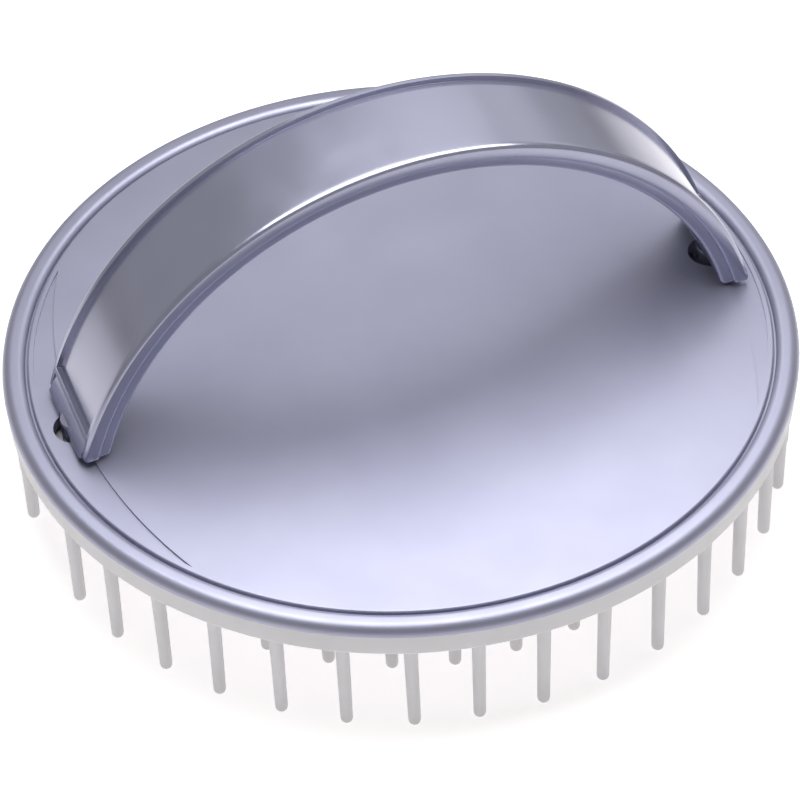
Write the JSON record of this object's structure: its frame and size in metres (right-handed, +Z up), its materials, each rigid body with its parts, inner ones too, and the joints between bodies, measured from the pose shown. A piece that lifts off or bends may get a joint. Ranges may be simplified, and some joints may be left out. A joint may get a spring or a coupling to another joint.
{
  "type": "curry comb",
  "caption": "Round hand-held curry comb: a rigid disc with an arched strap handle over a soft pad of blunt flexible pins set in rings.",
  "frame": {"origin": "centre of the round disc, on the plane of the pin tips", "axes": "+Z up out of the disc through the handle; X along the strap handle's span; the pictured side is -Y"},
  "size_m": [0.091, 0.091, 0.0476],
  "materials": {
    "silver_plastic": "pearl silver-lavender moulded plastic, soft gloss",
    "silver_plastic_strap": "pearl silver-lavender moulded plastic, soft gloss",
    "grey_flexible_plastic": "light warm-grey flexible plastic, satin"
  },
  "bodies": {
    "root": {"top_plate": "silver_plastic", "handle_strap": "silver_plastic_strap", "pin_pad": "grey_flexible_plastic", "pin_ring_1": "grey_flexible_plastic", "pin_ring_2": "grey_flexible_plastic", "pin_ring_3": "grey_flexible_plastic", "pin_ring_4": "grey_flexible_plastic", "pin_ring_5": "grey_flexible_plastic", "pin_ring_6": "grey_flexible_plastic"}
  },
  "joints": []
}
